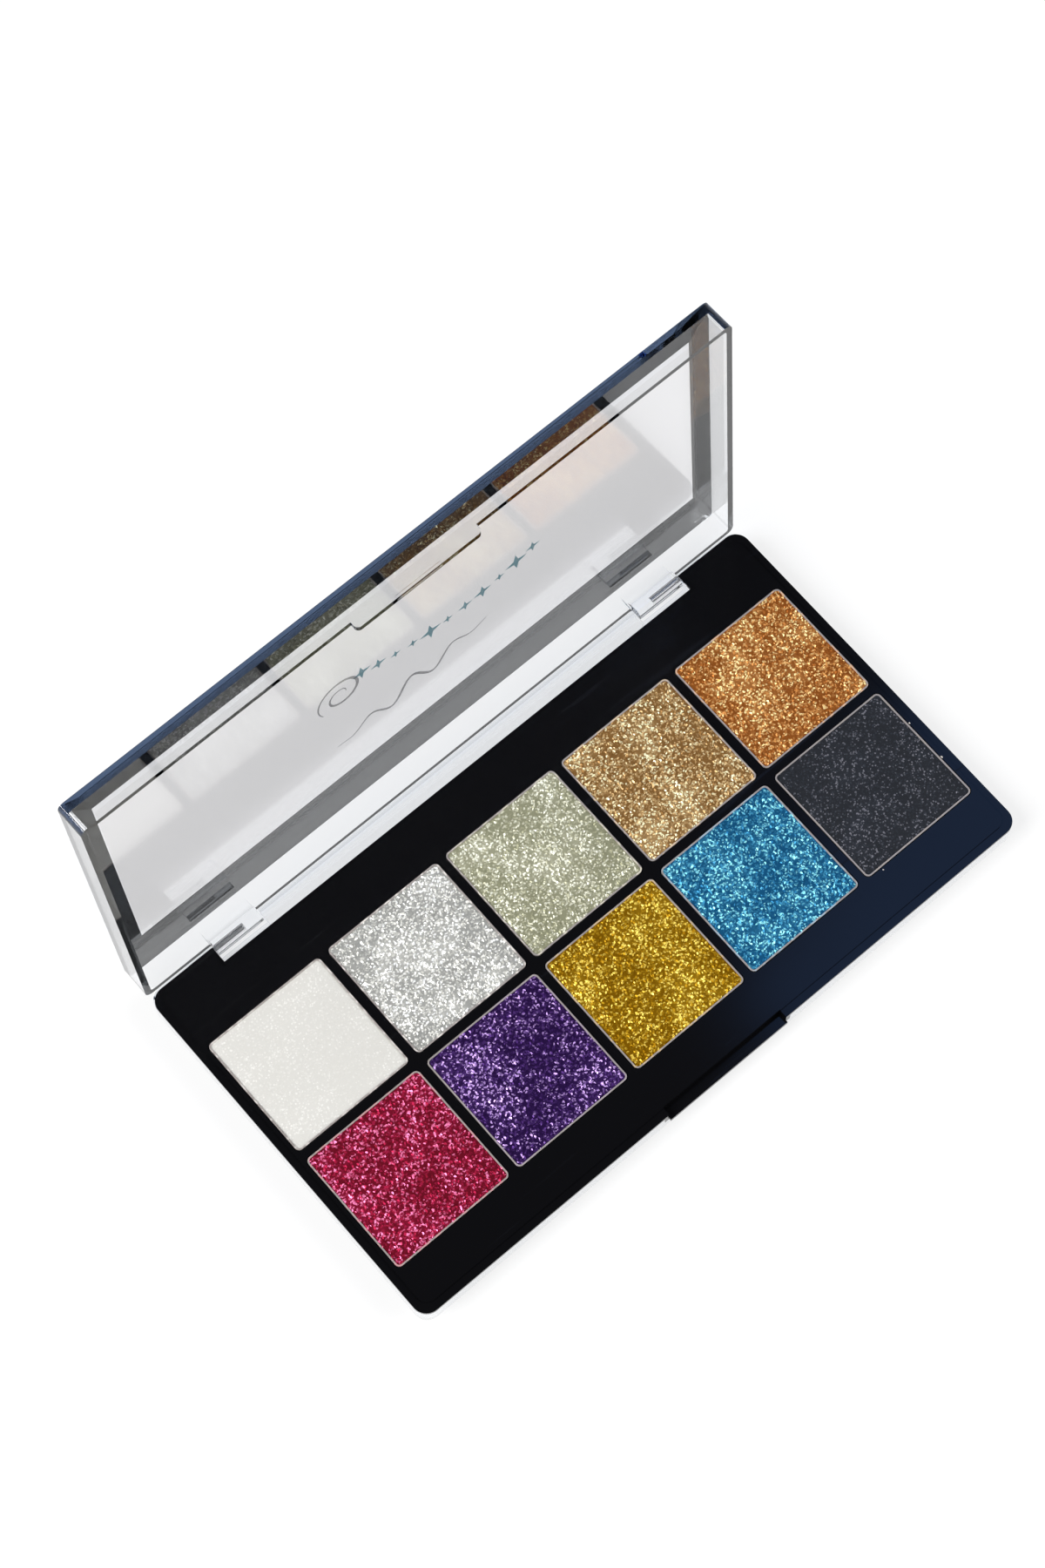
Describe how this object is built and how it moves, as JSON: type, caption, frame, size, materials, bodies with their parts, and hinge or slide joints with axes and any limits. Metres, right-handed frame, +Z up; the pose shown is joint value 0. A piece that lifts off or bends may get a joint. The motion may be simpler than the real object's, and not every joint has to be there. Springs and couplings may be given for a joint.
{
  "type": "eyeshadow palette",
  "caption": "Slim rectangular eyeshadow palette: clear bottom shell, black tray of square metal pans filled with pressed glitter, and a clear hinged lid standing open.",
  "frame": {"origin": "centre of the underside of the bottom shell", "axes": "+Z up out of the pans, +X along the length to the right, +Y from the front thumb tab back to the hinge"},
  "size_m": [0.1456, 0.0927, 0.0838],
  "materials": {
    "clear_shell": "clear polished moulded plastic",
    "black_tray": "glossy black moulded plastic with fine handling marks",
    "pan_metal": "drawn aluminium sheet",
    "shade_white": "fine pearly pressed powder",
    "shade_silver": "pressed silver glitter",
    "shade_sage": "pressed pale green silver glitter",
    "shade_rose_gold": "pressed rose gold glitter",
    "shade_copper": "pressed copper gold glitter",
    "shade_magenta": "pressed magenta glitter",
    "shade_purple": "pressed purple glitter",
    "shade_gold": "pressed yellow gold glitter",
    "shade_blue": "pressed turquoise blue glitter",
    "shade_black": "fine black pressed glitter",
    "glue": "thin pads of clear yellowish adhesive",
    "clear_lid": "clear polished moulded plastic with a bevelled outer face",
    "pin_steel": "cut steel wire"
  },
  "bodies": {
    "base": {"base_shell": "clear_shell", "pan_tray": "black_tray", "pan_white": "pan_metal", "pan_silver": "pan_metal", "pan_sage": "pan_metal", "pan_rose_gold": "pan_metal", "pan_copper": "pan_metal", "pan_magenta": "pan_metal", "pan_purple": "pan_metal", "pan_gold": "pan_metal", "pan_blue": "pan_metal", "pan_black": "pan_metal", "glitter_white": "shade_white", "glitter_silver": "shade_silver", "glitter_sage": "shade_sage", "glitter_rose_gold": "shade_rose_gold", "glitter_copper": "shade_copper", "glitter_magenta": "shade_magenta", "glitter_purple": "shade_purple", "glitter_gold": "shade_gold", "glitter_blue": "shade_blue", "glitter_black": "shade_black", "pan_glue": "glue", "hinge_pin_left": "pin_steel", "hinge_pin_right": "pin_steel"},
    "lid": {"lid": "clear_lid"}
  },
  "joints": [
    {"name": "lid_hinge", "type": "hinge", "parent": "base", "child": "lid", "pos_m": [0, 0.0393, 0.0046], "axis": [-1, 0, 0], "range_deg": [-93.5, 11.5]}
  ]
}
